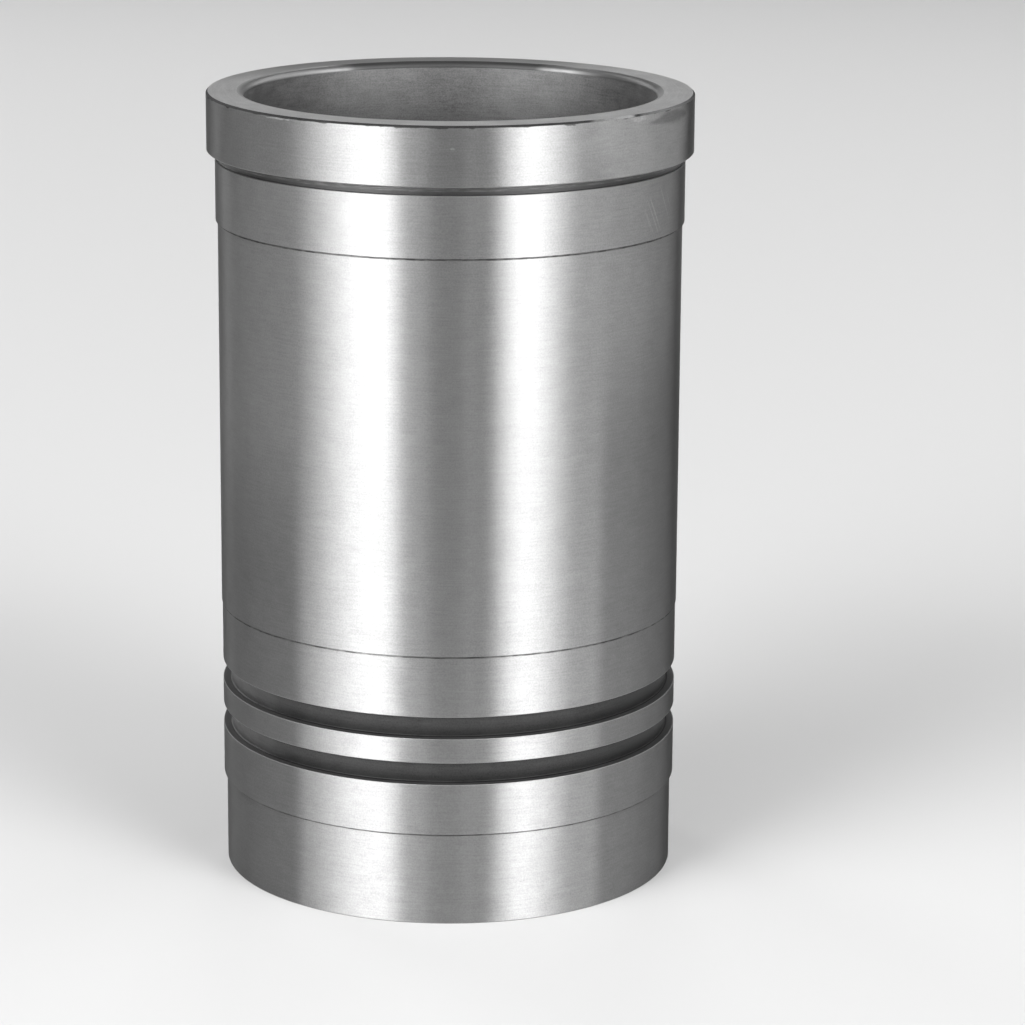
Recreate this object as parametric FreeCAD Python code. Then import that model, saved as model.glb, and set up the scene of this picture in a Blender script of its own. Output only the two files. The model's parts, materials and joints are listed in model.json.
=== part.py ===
import FreeCAD, Part
import math
import os
from collections import namedtuple

# Cylinder liner: a wet cylinder sleeve turned in one piece from a centrifugally cast iron tube.
# It hangs in its block by the flange, is centred by two pilots and is sealed by rings in its lower pilot.
# Origin: centre of the foot face. +Z runs along the bore to the flanged top, where the head seats.
# All sizes are in millimetres. Lengths run along the axis, and depths, rises and drops are radial.

# Tube
bore_diameter = 105.0
body_wall = 6.8
overall_length = 202.7

# Flange at the top
flange_thickness = 15.0
flange_overhang = 2.15
flange_top_chamfer = 0.5
flange_bottom_chamfer = 0.25

# Relief cut into the upper pilot under the flange, so that the flange seats flat
relief_width = 2.2
relief_depth = 0.7

# Upper pilot, which stands proud of the body
upper_pilot_length = 15.6
upper_pilot_rise = 0.55

# Lower pilot, which is ground below the body's size and holds the seal grooves
lower_pilot_drop = 0.2
pilot_above_grooves = 15.7
pilot_below_grooves = 13.3
seal_groove_count = 2
seal_groove_width = 5.5
seal_groove_depth = 2.2
seal_groove_root_flat = 0.3
seal_groove_land = 6.4

# Foot, which leads the liner into the block
foot_length = 23.6
foot_drop = 0.75

# Edges
edge_break = 0.2
bore_mouth_radius = 1.6
bore_foot_chamfer = 1.0

# Radii, from the bore outwards
bore_radius = bore_diameter / 2
body_radius = bore_radius + body_wall
upper_pilot_radius = body_radius + upper_pilot_rise
relief_radius = upper_pilot_radius - relief_depth
flange_radius = upper_pilot_radius + flange_overhang
lower_pilot_radius = body_radius - lower_pilot_drop
seal_groove_radius = lower_pilot_radius - seal_groove_depth
foot_radius = lower_pilot_radius - foot_drop

# Heights, from the foot upwards
seal_groove_pitch = seal_groove_width + seal_groove_land
lowest_groove_bottom = foot_length + pilot_below_grooves
highest_groove_top = lowest_groove_bottom + seal_groove_count * seal_groove_pitch - seal_groove_land
lower_pilot_top = highest_groove_top + pilot_above_grooves
flange_bottom = overall_length - flange_thickness
relief_bottom = flange_bottom - relief_width
upper_pilot_bottom = relief_bottom - upper_pilot_length

Corner = namedtuple("Corner", "radius height cut size")


def sharp(radius, height):
    return Corner(radius, height, "sharp", 0)


def chamfered(radius, height, size):
    return Corner(radius, height, "chamfer", size)


def rounded(radius, height, size):
    return Corner(radius, height, "round", size)


def bore_side():
    """The bore, from the mouth that leads the piston rings in down to the foot."""
    return [
        rounded(bore_radius, overall_length, bore_mouth_radius),
        chamfered(bore_radius, 0, bore_foot_chamfer),
    ]


def shoulder(lower_radius, upper_radius, height):
    """A step between two turned diameters: the inner corner is sharp and the proud edge is broken."""
    small_break = min(edge_break, (upper_radius - lower_radius) / 2)
    return [
        sharp(lower_radius, height),
        chamfered(upper_radius, height, small_break),
    ]


def seal_groove(bottom):
    """A square groove in the lower pilot, with broken edges and the tool's small flats at its roots."""
    top = bottom + seal_groove_width
    return [
        chamfered(lower_pilot_radius, bottom, edge_break),
        chamfered(seal_groove_radius, bottom, seal_groove_root_flat),
        chamfered(seal_groove_radius, top, seal_groove_root_flat),
        chamfered(lower_pilot_radius, top, edge_break),
    ]


def seal_grooves():
    corners = []
    for number in range(seal_groove_count):
        corners += seal_groove(lowest_groove_bottom + number * seal_groove_pitch)
    return corners


def flange():
    """The relief under the flange, then the flange's seat, rim and top edge."""
    return [
        chamfered(upper_pilot_radius, relief_bottom, edge_break),
        sharp(relief_radius, relief_bottom),
        sharp(relief_radius, flange_bottom),
        chamfered(flange_radius, flange_bottom, flange_bottom_chamfer),
        chamfered(flange_radius, overall_length, flange_top_chamfer),
    ]


def liner_corners():
    """The half section's corners: down the bore, then up the outside."""
    return [
        *bore_side(),
        chamfered(foot_radius, 0, edge_break),
        *shoulder(foot_radius, lower_pilot_radius, foot_length),
        *seal_grooves(),
        *shoulder(lower_pilot_radius, body_radius, lower_pilot_top),
        *shoulder(body_radius, upper_pilot_radius, upper_pilot_bottom),
        *flange(),
    ]


def point(corner):
    return FreeCAD.Vector(corner.radius, 0, corner.height)


def cut_corner(before, corner, after):
    """Start, middle and end of what a corner's chamfer or round takes of the outline."""
    apex = point(corner)
    to_before = (point(before) - apex).normalize()
    to_after = (point(after) - apex).normalize()
    if corner.cut != "round":
        return apex + to_before * corner.size, apex, apex + to_after * corner.size
    half_angle = to_before.getAngle(to_after) / 2
    reach = corner.size / math.tan(half_angle)
    bisector = (to_before + to_after).normalize()
    middle = apex + bisector * (corner.size / math.sin(half_angle) - corner.size)
    return apex + to_before * reach, middle, apex + to_after * reach


def section_face(corners):
    """A flat face in the XZ plane whose outline follows the corners, with their chamfers and rounds."""
    cuts = [
        cut_corner(corners[i - 1], corner, corners[(i + 1) % len(corners)])
        for i, corner in enumerate(corners)
    ]
    edges = []
    for i, corner in enumerate(corners):
        start, middle, end = cuts[i]
        if corner.cut == "round":
            edges.append(Part.Arc(start, middle, end).toShape())
        elif corner.cut == "chamfer":
            edges.append(Part.LineSegment(start, end).toShape())
        next_start = cuts[(i + 1) % len(cuts)][0]
        edges.append(Part.LineSegment(end, next_start).toShape())
    return Part.Face(Part.Wire(edges))


def cylinder_liner():
    axis_point = FreeCAD.Vector(0, 0, 0)
    axis = FreeCAD.Vector(0, 0, 1)
    return section_face(liner_corners()).revolve(axis_point, axis, 360)


os.makedirs("parts", exist_ok=True)
liner = cylinder_liner()
liner.exportStep("parts/cylinder_liner.step")
print("solid is valid:", liner.isValid())
print("volume in cubic centimetres:", round(liner.Volume / 1000, 2))
print("box in millimetres:", liner.BoundBox)
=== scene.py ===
import json
import math
from collections import namedtuple

import bpy
from mathutils import Matrix, Vector


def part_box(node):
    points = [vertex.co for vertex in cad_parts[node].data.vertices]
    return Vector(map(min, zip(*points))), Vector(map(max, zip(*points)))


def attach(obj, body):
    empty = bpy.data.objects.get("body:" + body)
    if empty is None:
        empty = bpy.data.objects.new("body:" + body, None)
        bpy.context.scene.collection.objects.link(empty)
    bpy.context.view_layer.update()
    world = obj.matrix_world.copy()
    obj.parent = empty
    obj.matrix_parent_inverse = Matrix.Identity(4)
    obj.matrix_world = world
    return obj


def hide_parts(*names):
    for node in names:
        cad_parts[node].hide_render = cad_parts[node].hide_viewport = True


# Cylinder liner: a wet cylinder sleeve turned in one piece from a centrifugally cast iron tube.
# Sizes are in metres, in the frame of the CAD model: the origin is the centre of the foot face,
# and +Z runs up the bore to the flanged top.

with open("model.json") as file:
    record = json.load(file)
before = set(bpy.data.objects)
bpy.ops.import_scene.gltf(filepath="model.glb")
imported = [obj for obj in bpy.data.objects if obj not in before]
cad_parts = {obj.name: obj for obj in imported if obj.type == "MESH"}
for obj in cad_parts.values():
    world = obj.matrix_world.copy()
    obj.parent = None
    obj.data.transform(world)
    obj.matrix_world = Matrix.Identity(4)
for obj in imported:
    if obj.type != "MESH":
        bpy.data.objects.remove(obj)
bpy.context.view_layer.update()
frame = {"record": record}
mounts = {mount["name"]: mount for mount in frame["record"]["mounts"]}
lowest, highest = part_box("cylinder_liner")
MM = 0.001


def mount_radius(name):
    return mounts[name]["dims"]["r_mm"] * MM


def mount_height(name):
    return mounts[name]["pos_m"][2]


def mount_length(name):
    return mounts[name]["dims"]["length_mm"] * MM


# Sizes that the frame gives. The flange keeps inside the box of the CAD model's flat facets.
OVERALL_LENGTH = highest.z
FLANGE_RADIUS = min(highest.x, highest.y, -lowest.x, -lowest.y)
BORE_RADIUS = mount_radius("piston_bore")
UPPER_PILOT_RADIUS = mount_radius("upper_pilot")
LOWER_PILOT_RADIUS = mount_radius("lower_pilot")
GROOVE_RADIUS = mount_radius("lower_seal_groove")
GROOVE_WIDTH = mount_length("lower_seal_groove")
GROOVE_HEIGHTS = sorted((mount_height("lower_seal_groove"), mount_height("upper_seal_groove")))
FLANGE_BOTTOM = mount_height("flange_seat")

# Other sizes of the turned profile
BODY_RADIUS = 0.0593
FOOT_RADIUS = 0.05835
FOOT_LENGTH = 0.0236
PILOT_ABOVE_GROOVES = 0.0157
RELIEF_WIDTH = 0.0022
RELIEF_RADIUS = 0.05915
UPPER_PILOT_LENGTH = 0.0156

# Edges
BORE_MOUTH_ROUND = 0.0016
BORE_FOOT_CHAMFER = 0.001
FLANGE_TOP_CHAMFER = 0.0005
FLANGE_BOTTOM_CHAMFER = 0.00025
EDGE_ROUND = 0.0002
SHOULDER_ROUND = 0.0001
ROOT_ROUND = 0.0004
RELIEF_ROOT_ROUND = 0.0002

# Heights of the painted shade below each shoulder, and of the darker foot of the relief
PAINTED_SHADE_HEIGHT = 0.0004
RELIEF_FOOT_HEIGHT = 0.0008

# Fineness of the lathe mesh
SEGMENTS = 360
LONGEST_ROW = 0.01
ARC_STEP = 0.00015
FEWEST_ARC_STEPS = 3

# Camera, in the photograph's place
CAMERA_DISTANCE = 1.00767
CAMERA_HEIGHT = 0.34550
CAMERA_LENS = 140.17
CAMERA_SENSOR_WIDTH = 36.0
CAMERA_PITCH = math.radians(14.112)
CAMERA_YAW = math.radians(0.934)
CAMERA_ROLL = math.radians(0.389)

# Studio screens, which stand round the liner, and the faint light from all sides
SCREEN_DISTANCE = 2.4
SCREEN_BOTTOM = 0.15
SCREEN_TOP = 2.7
WORLD_GREY = 0.04

# Floor, which gets paler between two radii as painted light, making up for the weaker light far from the
# liner, and the cove that turns it into a darker wall
FLOOR_COLOUR = 0.63
FLOOR_COLOUR_RADIUS = 0.15
FAR_FLOOR_COLOUR = 0.80
FAR_FLOOR_COLOUR_RADIUS = 1.9
WALL_COLOUR_START = 2.2
WALL_COLOUR = 0.15
COVE_START = 3.2
COVE_RADIUS = 1.5
COVE_STEPS = 12
WALL_TOP = 4.0
FLOOR_SIDES = 96

# Grain of the iron: how fine the speckle, the streaks along their run and the blotches are, the share of
# the streaks beside the speckle, the share of both beside the blotches, and the height of the bump
GRAIN_SCALE = 2600
STREAK_SCALE = 150
BLOTCH_SCALE = 220
STREAK_SHARE = 0.4
FINE_SHARE = 0.78
BUMP_HEIGHT = 0.000002

# The range that most of a noise lies in
NOISE_LOW = 0.3
NOISE_HIGH = 0.7

# How many times as long as tall the notches in a ragged edge are
NOTCH_LENGTH = 4

# Turn of the stretched highlights, as a share of a full turn
QUARTER_TURN = 0.25

# Surface finishes, which are also the slots of the mesh
FINISHES = (
    "turned", "flange", "shoulder_shade", "faced", "rim", "edge", "mouth", "honed",
    "groove", "groove_wall", "groove_edge", "relief", "relief_foot", "relief_edge",
)

# A corner of the outline, with the kind, size and finish of its cut, and the finish of the wall after it
Corner = namedtuple("Corner", "radius height cut size edge onward")

# A stretch of the outline, which ends where the next one starts
Stretch = namedtuple("Stretch", "start normal_at_start normal_at_end finish")

# Where a mark lies on the iron, and what it looks like there
Mark = namedtuple("Mark", "mask colour roughness")

# Shares of a screen's width at which its light starts to rise, is full, starts to fade and has faded,
# and the least share of its radiance
Profile = namedtuple("Profile", "start full fade end least")


def sharp(radius, height, onward):
    return Corner(radius, height, "sharp", 0, "edge", onward)


def chamfered(radius, height, size, onward, edge="edge"):
    return Corner(radius, height, "chamfer", size, edge, onward)


def rounded(radius, height, size, onward, edge="edge"):
    return Corner(radius, height, "round", size, edge, onward)


def groove_corners(middle):
    bottom = middle - GROOVE_WIDTH / 2
    top = middle + GROOVE_WIDTH / 2
    return [
        rounded(LOWER_PILOT_RADIUS, bottom, EDGE_ROUND, "groove_wall", "groove_edge"),
        rounded(GROOVE_RADIUS, bottom, ROOT_ROUND, "groove", "groove"),
        rounded(GROOVE_RADIUS, top, ROOT_ROUND, "groove", "groove"),
        rounded(LOWER_PILOT_RADIUS, top, EDGE_ROUND, "turned"),
    ]


# A step out to a wider wall. The band below it, its ledge and the rounded edge above carry painted shade,
# where the step shades the wall.
def shoulder(lower_radius, upper_radius, height, size):
    return [
        sharp(lower_radius, height - PAINTED_SHADE_HEIGHT, "shoulder_shade"),
        sharp(lower_radius, height, "shoulder_shade"),
        rounded(upper_radius, height, size, "turned", "shoulder_shade"),
    ]


def outline():
    """The half section's corners: down the bore, then up the outside and in over the top."""
    relief_bottom = FLANGE_BOTTOM - RELIEF_WIDTH
    corners = [
        rounded(BORE_RADIUS, OVERALL_LENGTH, BORE_MOUTH_ROUND, "honed", "mouth"),
        chamfered(BORE_RADIUS, 0, BORE_FOOT_CHAMFER, "faced"),
        rounded(FOOT_RADIUS, 0, EDGE_ROUND, "turned"),
        *shoulder(FOOT_RADIUS, LOWER_PILOT_RADIUS, FOOT_LENGTH, EDGE_ROUND),
    ]
    for middle in GROOVE_HEIGHTS:
        corners += groove_corners(middle)
    lower_pilot_top = GROOVE_HEIGHTS[-1] + GROOVE_WIDTH / 2 + PILOT_ABOVE_GROOVES
    corners += shoulder(LOWER_PILOT_RADIUS, BODY_RADIUS, lower_pilot_top, SHOULDER_ROUND)
    corners += shoulder(BODY_RADIUS, UPPER_PILOT_RADIUS, relief_bottom - UPPER_PILOT_LENGTH, EDGE_ROUND)
    corners += [
        rounded(UPPER_PILOT_RADIUS, relief_bottom, EDGE_ROUND, "relief", "relief_edge"),
        rounded(RELIEF_RADIUS, relief_bottom, RELIEF_ROOT_ROUND, "relief_foot", "relief_foot"),
        sharp(RELIEF_RADIUS, relief_bottom + RELIEF_FOOT_HEIGHT, "relief"),
        rounded(RELIEF_RADIUS, FLANGE_BOTTOM, RELIEF_ROOT_ROUND, "faced", "relief"),
        chamfered(FLANGE_RADIUS, FLANGE_BOTTOM, FLANGE_BOTTOM_CHAMFER, "flange"),
        chamfered(FLANGE_RADIUS, OVERALL_LENGTH, FLANGE_TOP_CHAMFER, "faced", "rim"),
    ]
    return corners


def point(corner):
    return Vector((corner.radius, corner.height))


def outward(before, after):
    """The surface's normal between two points, for an outline that has the metal on its left."""
    along = (after - before).normalized()
    return Vector((along.y, -along.x))


def between(first, second, share):
    return (first * (1 - share) + second * share).normalized()


def cut_stretches(before, corner, after):
    """The short stretches of a corner's round or chamfer, and the point where the next edge starts."""
    apex = point(corner)
    to_before = (point(before) - apex).normalized()
    to_after = (point(after) - apex).normalized()
    first = outward(point(before), apex)
    last = outward(apex, point(after))
    if corner.cut == "sharp":
        return [], apex
    if corner.cut == "chamfer":
        start = apex + to_before * corner.size
        end = apex + to_after * corner.size
        normal = outward(start, end)
        return [Stretch(start, normal, normal, corner.edge)], end
    half_angle = to_before.angle(to_after) / 2
    reach = corner.size / math.tan(half_angle)
    centre = apex + (to_before + to_after).normalized() * (corner.size / math.sin(half_angle))
    arm = apex + to_before * reach - centre
    end_arm = apex + to_after * reach - centre
    steps = max(FEWEST_ARC_STEPS, round(corner.size / ARC_STEP))
    stretches = []
    for step in range(steps):
        here = between(arm, end_arm, step / steps) * corner.size
        normals = between(first, last, step / steps), between(first, last, (step + 1) / steps)
        stretches.append(Stretch(centre + here, *normals, corner.edge))
    return stretches, centre + end_arm


def outline_stretches(corners):
    """The outline as a closed chain of stretches, with long ones divided evenly."""
    count = len(corners)
    cuts = [cut_stretches(corners[i - 1], corners[i], corners[(i + 1) % count]) for i in range(count)]
    chain = []
    for i, corner in enumerate(corners):
        stretches, start = cuts[i]
        chain += stretches
        following, following_start = cuts[(i + 1) % count]
        end = following[0].start if following else following_start
        normal = outward(start, end)
        rows = math.ceil((end - start).length / LONGEST_ROW)
        for row in range(rows):
            chain.append(Stretch(start.lerp(end, row / rows), normal, normal, corner.onward))
    return chain


def round_the_axis(count):
    """Cosine and sine of evenly spaced turns about Z."""
    return [(math.cos(math.tau * i / count), math.sin(math.tau * i / count)) for i in range(count)]


def new_object(name, data):
    piece = bpy.data.objects.new(name, data)
    bpy.context.scene.collection.objects.link(piece)
    return piece


def lathe(name, chain):
    """A closed mesh of the chain turned about Z, with the true normals of the turned surface."""
    turns = round_the_axis(SEGMENTS)
    points = [
        (stretch.start.x * cosine, stretch.start.x * sine, stretch.start.y)
        for stretch in chain
        for cosine, sine in turns
    ]
    faces = []
    normals = []
    slots = []
    for row, stretch in enumerate(chain):
        below = row * SEGMENTS
        above = (row + 1) % len(chain) * SEGMENTS
        first = stretch.normal_at_start
        last = stretch.normal_at_end
        for i in range(SEGMENTS):
            j = (i + 1) % SEGMENTS
            faces.append((below + i, below + j, above + j, above + i))
            for normal, turn in ((first, i), (first, j), (last, j), (last, i)):
                cosine, sine = turns[turn]
                normals.append((normal.x * cosine, normal.x * sine, normal.y))
        slots += [FINISHES.index(stretch.finish)] * SEGMENTS
    mesh = bpy.data.meshes.new(name)
    mesh.from_pydata(points, [], faces)
    mesh.polygons.foreach_set("material_index", slots)
    mesh.polygons.foreach_set("use_smooth", [True] * len(faces))
    mesh.normals_split_custom_set(normals)
    return new_object(name, mesh)


class Tree:
    """Short ways to add nodes to the tree of a material, a light or the world."""

    def __init__(self, owner):
        owner.use_nodes = True
        self.tree = owner.node_tree
        self.coordinates = None
        self.parts = None

    def find(self, kind):
        """The node of a kind that the tree starts with."""
        return next(node for node in self.tree.nodes if node.type == kind)

    def add(self, kind, inputs=None, **settings):
        node = self.tree.nodes.new("ShaderNode" + kind)
        for name, value in settings.items():
            setattr(node, name, value)
        for key, value in (inputs or {}).items():
            self.set(node.inputs[key], value)
        return node

    def set(self, socket, value):
        if isinstance(value, bpy.types.NodeSocket):
            self.tree.links.new(value, socket)
        else:
            socket.default_value = value

    def place(self):
        """The object's own coordinates, which are the CAD model's too."""
        if self.coordinates is None:
            self.coordinates = self.add("TexCoord").outputs["Object"]
        return self.coordinates

    def axis(self, name):
        """The object's own coordinate along X, Y or Z."""
        if self.parts is None:
            self.parts = self.add("SeparateXYZ", {"Vector": self.place()}).outputs
        return self.parts[name]

    def slanted(self, name, slope):
        """A coordinate, less a share of the one along X."""
        return self.math("SUBTRACT", self.axis(name), self.math("MULTIPLY", self.axis("X"), slope))

    def radius(self):
        """The distance from the Z axis."""
        return self.vector("LENGTH", self.vector("MULTIPLY", self.place(), (1, 1, 0)))

    def vector(self, operation, first, second=(0, 0, 0)):
        node = self.add("VectorMath", {0: first, 1: second}, operation=operation)
        return node.outputs["Value" if operation == "LENGTH" else "Vector"]

    def math(self, operation, first, second=0.0):
        return self.add("Math", {0: first, 1: second}, operation=operation).outputs[0]

    def remap(self, value, low, high, to_low, to_high, smooth=True):
        kind = "SMOOTHSTEP" if smooth else "LINEAR"
        inputs = {"Value": value, "From Min": low, "From Max": high, "To Min": to_low, "To Max": to_high}
        return self.add("MapRange", inputs, interpolation_type=kind).outputs["Result"]

    def fade(self, value, start, full, strength=1.0):
        """A mask that is nothing where the value is at the start, and at its strength where it is full."""
        return self.remap(value, start, full, 0.0, strength)

    def blend(self, mask, under, over):
        """One value where the mask is nothing, and another where it is one."""
        return self.remap(mask, 0.0, 1.0, under, over, smooth=False)

    def weigh(self, first, second, share):
        """A sum in which the first value has the share, and the second has the rest."""
        rest = self.math("MULTIPLY", second, 1 - share)
        return self.math("ADD", self.math("MULTIPLY", first, share), rest)

    def noise(self, vector, scale=1.0, detail=2.0, roughness=0.5):
        inputs = {"Vector": vector, "Scale": scale, "Detail": detail, "Roughness": roughness}
        return self.add("TexNoise", inputs).outputs["Fac"]

    def offset(self, noise, reach, middle=0.5):
        """A noise as an offset from nothing, which it has where the noise is at its middle."""
        return self.math("MULTIPLY", self.math("SUBTRACT", noise, middle), reach)

    def swing(self, noise, share):
        """A noise as a factor that swings round one, by a share to both sides."""
        return self.remap(noise, NOISE_LOW, NOISE_HIGH, 1 - share, 1 + share, smooth=False)

    def grey(self, shade):
        return self.add("CombineColor", {0: shade, 1: shade, 2: shade}).outputs[0]


def ring_vector(tree, across, along):
    """Coordinates in which a noise turns into marks that run round the axis, on walls and on faces alike.

    They are scaled to the marks' fineness across and along their run.
    """
    inputs = {
        "X": tree.math("MULTIPLY", tree.axis("X"), along),
        "Y": tree.math("MULTIPLY", tree.axis("Y"), along),
        "Z": tree.math("MULTIPLY", tree.math("ADD", tree.axis("Z"), tree.radius()), across),
    }
    return tree.add("CombineXYZ", inputs).outputs["Vector"]


def helix_vector(tree, slope, across, along):
    """Coordinates in which a noise turns into marks that climb a wall, at a slope in degrees."""
    twist = tree.math("MULTIPLY", tree.axis("Z"), -1 / (math.tan(math.radians(slope)) * BORE_RADIUS))
    inputs = {"Vector": tree.place(), "Angle": twist}
    turned = tree.add("VectorRotate", inputs, rotation_type="Z_AXIS").outputs["Vector"]
    return tree.vector("MULTIPLY", turned, (across, across, along))


def spot(tree, azimuth, radius, height, width, tall, ragged, scale, strength=1.0):
    """A mask with ragged edges round one place on a wall. The azimuth is in degrees from the -Y side.

    ragged is how far a noise moves the edges, and scale is how fine its notches are.
    """
    turn = math.radians(azimuth)
    centre = (radius * math.sin(turn), -radius * math.cos(turn), height)
    from_centre = tree.vector("SUBTRACT", tree.place(), centre)
    distance = tree.vector("LENGTH", tree.vector("MULTIPLY", from_centre, (2 / width, 2 / width, 2 / tall)))
    noise = tree.noise(ring_vector(tree, across=scale, along=scale / NOTCH_LENGTH), detail=3)
    torn = tree.math("ADD", distance, tree.offset(noise, reach=ragged))
    return tree.fade(torn, start=1.0, full=0.5, strength=strength)


def metal(name, colour, roughness, anisotropy=0.0, edge_tint=0.8, grain=0.08, marks=()):
    """Machined cast iron. The grain is the share by which its fine marks change the colour.

    Each of the other marks is a function that adds its nodes to the tree and gives a Mark.
    """
    material = bpy.data.materials.new(name)
    tree = Tree(material)
    shader = tree.find("BSDF_PRINCIPLED")
    streaks = tree.noise(ring_vector(tree, across=GRAIN_SCALE, along=STREAK_SCALE), detail=2)
    speckle = tree.noise(tree.place(), scale=GRAIN_SCALE, detail=1)
    blotches = tree.noise(tree.place(), scale=BLOTCH_SCALE, detail=3)
    fine = tree.weigh(streaks, speckle, STREAK_SHARE)
    level = tree.weigh(fine, blotches, FINE_SHARE)
    shade = colour
    rough = roughness
    for make_mark in marks:
        mark = make_mark(tree)
        shade = tree.blend(mark.mask, shade, mark.colour)
        rough = tree.blend(mark.mask, rough, mark.roughness)
    shade = tree.math("MULTIPLY", shade, tree.swing(level, grain))
    rough = tree.math("MULTIPLY", rough, tree.swing(level, grain / 2))
    tree.set(shader.inputs["Base Color"], tree.grey(shade))
    tree.set(shader.inputs["Roughness"], rough)
    tree.set(shader.inputs["Metallic"], 1.0)
    tree.set(shader.inputs["Specular Tint"], (edge_tint, edge_tint, edge_tint, 1))
    if anisotropy:
        tree.set(shader.inputs["Anisotropic"], anisotropy)
        tree.set(shader.inputs["Anisotropic Rotation"], QUARTER_TURN)
        tangent = tree.add("Tangent", direction_type="RADIAL", axis="Z")
        tree.set(shader.inputs["Tangent"], tangent.outputs["Tangent"])
    bump = tree.add("Bump", {"Strength": 1.0, "Distance": BUMP_HEIGHT, "Height": fine})
    tree.set(shader.inputs["Normal"], bump.outputs["Normal"])
    return material


def lower_painted_highlight(tree):
    """The lower part of the outside is a little smoother, and painted brighter as a painted highlight."""
    mask = tree.fade(tree.axis("Z"), start=0.115, full=0.015)
    return Mark(mask, colour=0.36, roughness=0.33)


def painted_side_shade(tree):
    """Painted shade on both sides of the body, from half height down, where it is a little rougher too. It
    reaches higher at +X.
    """
    noise = tree.noise(tree.place(), scale=40, detail=2)
    height = tree.math("ADD", tree.slanted("Z", slope=0.33), tree.offset(noise, reach=0.012))
    low = tree.fade(height, start=0.145, full=0.098, strength=0.8)
    side = tree.fade(tree.math("ABSOLUTE", tree.axis("X")), start=0.0355, full=0.0400)
    return Mark(tree.math("MULTIPLY", low, side), colour=0.235, roughness=0.42)


def scratches(tree):
    """A few fine slanted scratches on the upper pilot."""
    lines = tree.noise(helix_vector(tree, slope=-62, across=1500, along=25), detail=1)
    thin = tree.fade(lines, start=0.60, full=0.68, strength=0.5)
    place = spot(
        tree, azimuth=60, radius=UPPER_PILOT_RADIUS, height=FLANGE_BOTTOM - 0.011,
        width=0.016, tall=0.015, ragged=0.8, scale=300,
    )
    return Mark(tree.math("MULTIPLY", thin, place), colour=0.5, roughness=0.35)


def handled_patch(tree):
    """A lighter, duller patch on the flange, where it has been handled."""
    mask = spot(
        tree, azimuth=54, radius=FLANGE_RADIUS, height=FLANGE_BOTTOM + 0.0075,
        width=0.052, tall=0.040, ragged=0.8, scale=150, strength=0.9,
    )
    return Mark(mask, colour=0.42, roughness=0.42)


def smudge(tree):
    """Dull handling mark under the flange's top edge."""
    mask = spot(
        tree, azimuth=62, radius=FLANGE_RADIUS, height=OVERALL_LENGTH - 0.0024,
        width=0.020, tall=0.0042, ragged=1.4, scale=500, strength=0.5,
    )
    return Mark(mask, colour=0.17, roughness=0.5)


def torn_edge(tree):
    """Ragged dark burr line along the flange's top edge, on the wall below the chamfer."""
    noise = tree.noise(ring_vector(tree, across=700, along=240), detail=4)
    rise = tree.math("SUBTRACT", tree.axis("Z"), OVERALL_LENGTH - FLANGE_TOP_CHAMFER)
    torn = tree.math("ADD", rise, tree.offset(noise, reach=0.0028, middle=0.54))
    mask = tree.fade(torn, start=-0.00015, full=0.0, strength=0.8)
    return Mark(mask, colour=0.08, roughness=0.5)


def edge_patch(azimuth, depth, width, tall, colour, ragged=1.6, scale=1500):
    """A short stretch of other iron along the flange's top edge, at a depth below the top face."""
    def mark(tree):
        mask = spot(tree, azimuth, FLANGE_RADIUS, OVERALL_LENGTH - depth, width, tall, ragged, scale)
        return Mark(mask, colour, roughness=0.38)
    return mark


def broken_painted_shade(tree):
    """Painted shade in the corner below a shoulder, broken up along its run."""
    noise = tree.noise(ring_vector(tree, across=1500, along=400), detail=3)
    mask = tree.remap(noise, low=0.35, high=0.65, to_low=0.85, to_high=0.3)
    return Mark(mask, colour=0.08, roughness=0.6)


def painted_groove_shade(tree):
    """Painted shade towards the foot of each seal groove."""
    lowest_bottom = GROOVE_HEIGHTS[0] - GROOVE_WIDTH / 2
    pitch = GROOVE_HEIGHTS[1] - GROOVE_HEIGHTS[0]
    rise = tree.math("MODULO", tree.math("SUBTRACT", tree.axis("Z"), lowest_bottom), pitch)
    mask = tree.fade(rise, start=0.0042, full=0.0004)
    return Mark(mask, colour=0.032, roughness=0.6)


def paler_groove_end(tree):
    """Lighter towards -X in the seal grooves."""
    mask = tree.fade(tree.axis("X"), start=-0.039, full=-0.053, strength=0.7)
    return Mark(mask, colour=0.15, roughness=0.5)


def relief_streaks(tree):
    """Paler turning marks in the relief under the flange."""
    noise = tree.noise(ring_vector(tree, across=3500, along=250), detail=2)
    mask = tree.fade(noise, start=0.5, full=0.66, strength=0.5)
    return Mark(mask, colour=0.18, roughness=0.4)


def painted_top_shade(tree):
    """Painted shade on the far side of the top face, deepest to the left of the middle, where the face is a
    little rougher too.
    """
    noise = tree.noise(tree.place(), scale=60, detail=3)
    far = tree.math("ADD", tree.slanted("Y", slope=0.25), tree.offset(noise, reach=0.012))
    mask = tree.fade(far, start=0.020, full=0.058, strength=0.8)
    return Mark(mask, colour=0.12, roughness=0.4)


def painted_lip_shade(tree):
    """Painted shade on the mouth's far side, which dims its reflections there, rougher too, and fades out
    along the edge.
    """
    noise = tree.noise(tree.place(), scale=120, detail=2)
    far = tree.math("ADD", tree.axis("Y"), tree.offset(noise, reach=0.006))
    mask = tree.fade(far, start=0.0415, full=0.0480)
    return Mark(mask, colour=0.07, roughness=0.6)


def painted_lip_side_shade(tree):
    """Painted shade on a stretch of the mouth beside the far side's painted shade."""
    mask = spot(
        tree, azimuth=114, radius=BORE_RADIUS, height=OVERALL_LENGTH,
        width=0.056, tall=0.020, ragged=0.6, scale=200, strength=0.9,
    )
    return Mark(mask, colour=0.15, roughness=0.4)


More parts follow.
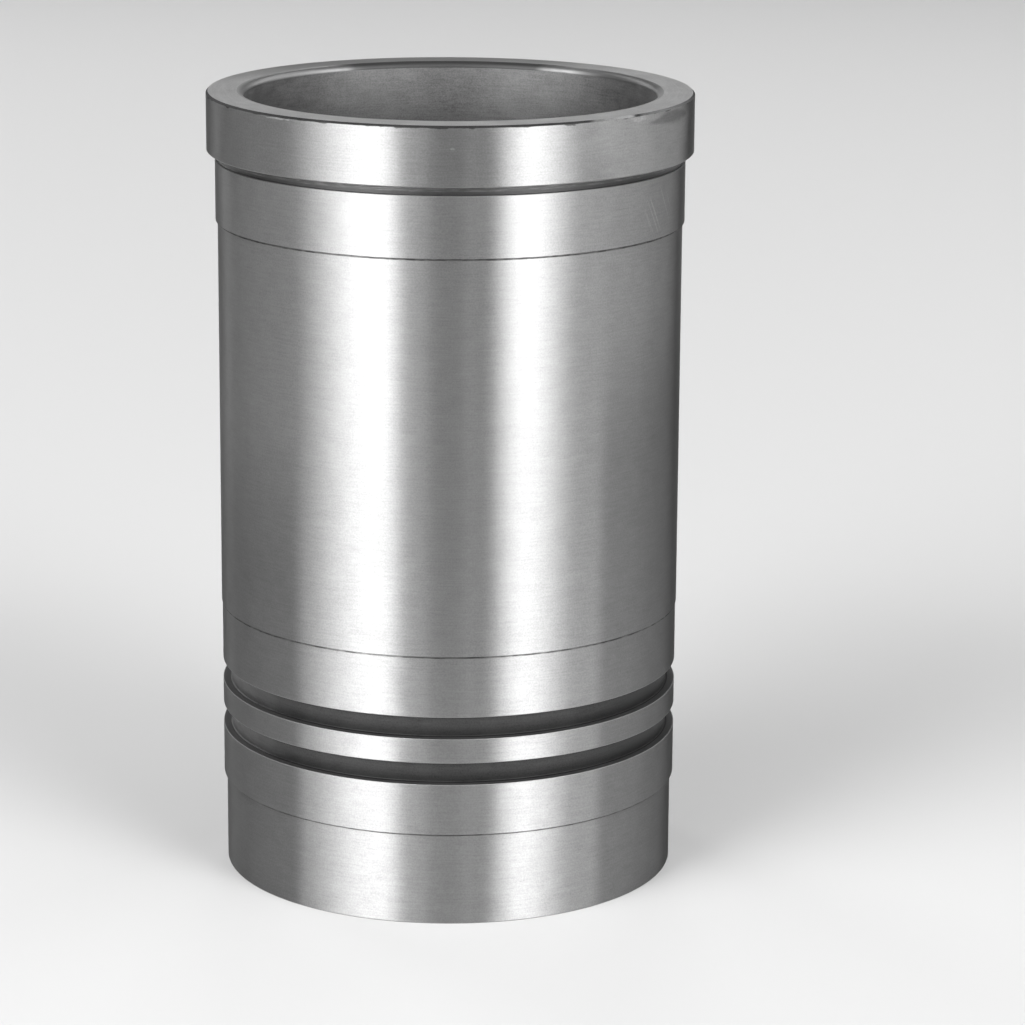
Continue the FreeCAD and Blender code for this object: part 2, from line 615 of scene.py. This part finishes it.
def upper_bore(tree):
    """The duller, darker upper part of the bore. Further down, the honed metal's colour is painted lighter,
    standing in for light that hardly reaches so deep.
    """
    mask = tree.fade(tree.axis("Z"), start=OVERALL_LENGTH - 0.075, full=OVERALL_LENGTH - 0.030)
    return Mark(mask, colour=0.19, roughness=0.55)


def bore_stains(tree):
    """Cloudy dull stains."""
    noise = tree.noise(tree.place(), scale=45, detail=4, roughness=0.6)
    mask = tree.fade(noise, start=0.42, full=0.68, strength=0.4)
    return Mark(mask, colour=0.13, roughness=0.6)


def hatch(tree):
    """Crossed honing marks, which climb the bore to both sides."""
    rising, falling = (
        tree.noise(helix_vector(tree, slope, across=2200, along=30), detail=3) for slope in (28, -28)
    )
    mask = tree.fade(tree.math("MAXIMUM", rising, falling), start=0.5, full=0.75, strength=0.14)
    return Mark(mask, colour=0.30, roughness=0.5)


def bore_painted_shade(tree):
    """Painted shade that deepens below the mouth and thins out again further down, where the bore is a
    little rougher too.
    """
    height = tree.axis("Z")
    upper = tree.fade(height, start=OVERALL_LENGTH - 0.003, full=OVERALL_LENGTH - 0.024, strength=0.8)
    lower = tree.fade(height, start=OVERALL_LENGTH - 0.060, full=OVERALL_LENGTH - 0.030)
    return Mark(tree.math("MULTIPLY", upper, lower), colour=0.09, roughness=0.6)


def flange_marks():
    left_nicks = edge_patch(
        azimuth=-42.5, depth=0.0008, width=0.009, tall=0.0006, colour=0.58, ragged=2.0, scale=3000,
    )
    right_chip = edge_patch(azimuth=48, depth=0.0011, width=0.007, tall=0.0017, colour=0.50)
    front_ding = edge_patch(azimuth=0.4, depth=0.0055, width=0.0014, tall=0.0007, colour=0.42)
    return handled_patch, torn_edge, smudge, left_nicks, right_chip, front_ding


def rim_marks():
    """The stretches of the flange's top chamfer that are worn dull and bare."""
    dull_rim = edge_patch(azimuth=66, depth=0, width=0.046, tall=0.006, colour=0.22, ragged=0.6)
    bared_rim = edge_patch(azimuth=40.5, depth=0, width=0.017, tall=0.006, colour=0.55, ragged=0.6)
    return dull_rim, bared_rim


def finish_materials():
    made = {
        "turned": metal(
            "turned_outside", colour=0.32, roughness=0.37, anisotropy=1.0, edge_tint=0.28, grain=0.18,
            marks=(lower_painted_highlight, painted_side_shade, scratches),
        ),
        "flange": metal(
            "flange_outside", colour=0.285, roughness=0.37, anisotropy=1.0, edge_tint=0.28, grain=0.20,
            marks=flange_marks(),
        ),
        # Painted shade in the corner of each shoulder, broken up along its run.
        "shoulder_shade": metal(
            "painted_shoulder_shade", colour=0.30, roughness=0.45, anisotropy=1.0, edge_tint=0.5, grain=0.06,
            marks=(broken_painted_shade,),
        ),
        "faced": metal("faced_iron", colour=0.49, roughness=0.36, grain=0.34, marks=(painted_top_shade,)),
        # The chamfer's dark colour is a painted reflection of the dark surroundings that it faces.
        "rim": metal(
            "flange_chamfer", colour=0.075, roughness=0.5, edge_tint=0.5, grain=0.2, marks=rim_marks(),
        ),
        "edge": metal("broken_edge", colour=0.35, roughness=0.42, edge_tint=0.4),
        "mouth": metal(
            "rounded_mouth", colour=0.33, roughness=0.40, grain=0.06, marks=(painted_lip_side_shade, painted_lip_shade),
        ),
        # Below the upper part this colour is painted light, lighter than the top, for the deep bore that
        # little light reaches.
        "honed": metal(
            "honed_bore", colour=0.40, roughness=0.45, grain=0.34,
            marks=(upper_bore, bore_stains, hatch, bore_painted_shade),
        ),
        "groove": metal(
            "groove_iron", colour=0.066, roughness=0.6, grain=0.35, marks=(painted_groove_shade, paler_groove_end),
        ),
        "groove_edge": metal("groove_lower_edge", colour=0.27, roughness=0.42, edge_tint=0.4),
        # The lower wall of each groove is coloured dark as painted shade in the groove.
        "groove_wall": metal("groove_lower_wall", colour=0.14, roughness=0.6, grain=0.12),
        "relief": metal(
            "relief_iron", colour=0.09, roughness=0.5, anisotropy=0.6, edge_tint=1.0, grain=0.12,
            marks=(relief_streaks,),
        ),
        "relief_foot": metal(
            "relief_foot_iron", colour=0.07, roughness=0.5, anisotropy=0.6, edge_tint=1.0, grain=0.15,
        ),
        "relief_edge": metal("relief_lower_edge", colour=0.17, roughness=0.45, edge_tint=0.4),
    }
    return [made[finish] for finish in FINISHES]


def floor_paper():
    """Matt pale paper, painted paler away from the liner where less light falls, and then darker up the
    wall.
    """
    material = bpy.data.materials.new("floor_paper")
    tree = Tree(material)
    shader = tree.find("BSDF_PRINCIPLED")
    radius = tree.radius()
    paper = tree.remap(
        radius, FLOOR_COLOUR_RADIUS, FAR_FLOOR_COLOUR_RADIUS, FLOOR_COLOUR, FAR_FLOOR_COLOUR, smooth=False,
    )
    shade = tree.remap(radius, WALL_COLOUR_START, COVE_START + COVE_RADIUS, paper, WALL_COLOUR)
    tree.set(shader.inputs["Base Color"], tree.grey(shade))
    tree.set(shader.inputs["Roughness"], 0.9)
    tree.set(shader.inputs["Specular IOR Level"], 0.1)
    return material


def floor():
    """A plain pale floor that curves up into a wall all round, so that it fills the view from any side."""
    sweep = [(COVE_START, 0)]
    for step in range(1, COVE_STEPS + 1):
        turn = math.pi / 2 * step / COVE_STEPS
        sweep.append((COVE_START + COVE_RADIUS * math.sin(turn), COVE_RADIUS * (1 - math.cos(turn))))
    sweep.append((COVE_START + COVE_RADIUS, WALL_TOP))
    turns = round_the_axis(FLOOR_SIDES)
    points = [
        (radius * cosine, radius * sine, height)
        for radius, height in sweep
        for cosine, sine in turns
    ]
    flat = tuple(range(FLOOR_SIDES))
    walls = []
    for row in range(len(sweep) - 1):
        below = row * FLOOR_SIDES
        above = below + FLOOR_SIDES
        for i in range(FLOOR_SIDES):
            j = (i + 1) % FLOOR_SIDES
            walls.append((below + i, below + j, above + j, above + i))
    mesh = bpy.data.meshes.new("floor")
    mesh.from_pydata(points, [], [flat, *walls])
    mesh.polygons.foreach_set("use_smooth", [False] + [True] * len(walls))
    mesh.materials.append(floor_paper())
    new_object("floor", mesh)


def new_lamp(name, data, area, radiance, location):
    """An area lamp that the camera doesn't see, with its power worked out from its radiance."""
    data.energy = radiance * math.pi * area
    lamp = new_object(name, data)
    lamp.location = location
    lamp.visible_camera = False
    return lamp


def shade_across(data, profile):
    """Lets a lamp's light rise and fall across its width."""
    tree = Tree(data)
    parametric = tree.add("NewGeometry").outputs["Parametric"]
    share = tree.add("SeparateXYZ", {"Vector": parametric}).outputs["X"]
    rise = tree.fade(share, start=profile.start, full=profile.full)
    fall = tree.fade(share, start=profile.end, full=profile.fade)
    strength = tree.blend(tree.math("MULTIPLY", rise, fall), profile.least, 1.0)
    tree.set(tree.find("EMISSION").inputs["Strength"], strength)


def screen(name, left, right, radiance, bottom=SCREEN_BOTTOM, top=SCREEN_TOP, profile=None):
    """A tall soft lamp that faces the liner, between two azimuths in degrees from the camera's side."""
    middle = math.radians((left + right) / 2)
    width = 2 * SCREEN_DISTANCE * math.tan(math.radians(right - left) / 2)
    height = top - bottom
    data = bpy.data.lights.new(name, "AREA")
    data.shape = "RECTANGLE"
    data.size = width
    data.size_y = height
    if profile:
        shade_across(data, profile)
    x = math.sin(middle) * SCREEN_DISTANCE
    y = -math.cos(middle) * SCREEN_DISTANCE
    lamp = new_lamp(name, data, width * height, radiance, (x, y, (bottom + top) / 2))
    lamp.rotation_euler = (math.pi / 2, 0, middle)


def overhead(size, height, radiance):
    data = bpy.data.lights.new("overhead", "AREA")
    data.shape = "DISK"
    data.size = size
    new_lamp("overhead", data, math.pi * (size / 2) ** 2, radiance, (0, 0, height))


def lights():
    left_profile = Profile(start=-0.022, full=0.764, fade=0.785, end=1.108, least=0.13)
    right_profile = Profile(start=-0.05, full=0.27, fade=0.27, end=0.71, least=0.14)
    screen("left_softbox", left=-77.5, right=-24, radiance=10.6, profile=left_profile)
    screen("left_screen", left=-24, right=-10.5, radiance=1.35)
    screen("left_side_screen", left=-136, right=-77.5, radiance=0.36)
    screen("left_edge_screen", left=-152, right=-136, radiance=2.6)
    screen("front_strip", left=8, right=12, radiance=1.0)
    screen("right_softbox", left=22, right=84, radiance=10.3, profile=right_profile)
    screen("right_screen", left=84, right=108, radiance=1.0)
    screen("right_side_screen", left=108, right=128, radiance=0.75)
    screen("right_edge_screen", left=128, right=146, radiance=1.3)
    screen("back_screen", left=165, right=195, radiance=0.35, bottom=0.3, top=3.6)
    screen("back_softbox", left=170, right=186, radiance=4.5, bottom=2.0, top=3.4)
    overhead(size=2.4, height=3.3, radiance=0.6)
    world = bpy.data.worlds.new("studio")
    bpy.context.scene.world = world
    tree = Tree(world)
    tree.set(tree.find("BACKGROUND").inputs["Color"], (WORLD_GREY, WORLD_GREY, WORLD_GREY, 1))


def camera():
    data = bpy.data.cameras.new("camera")
    data.lens = CAMERA_LENS
    data.sensor_width = CAMERA_SENSOR_WIDTH
    eye = new_object("camera", data)
    level = Matrix.Rotation(-CAMERA_YAW, 3, "Z") @ Matrix.Rotation(math.pi / 2 - CAMERA_PITCH, 3, "X")
    turn = level @ Matrix.Rotation(CAMERA_ROLL, 3, "Z")
    eye.matrix_world = Matrix.Translation((0, -CAMERA_DISTANCE, CAMERA_HEIGHT)) @ turn.to_4x4()
    bpy.context.scene.camera = eye


bpy.context.scene.view_settings.view_transform = "Standard"
liner = lathe("liner", outline_stretches(outline()))
for material in finish_materials():
    liner.data.materials.append(material)
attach(liner, "root")
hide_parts("cylinder_liner")
floor()
lights()
camera()
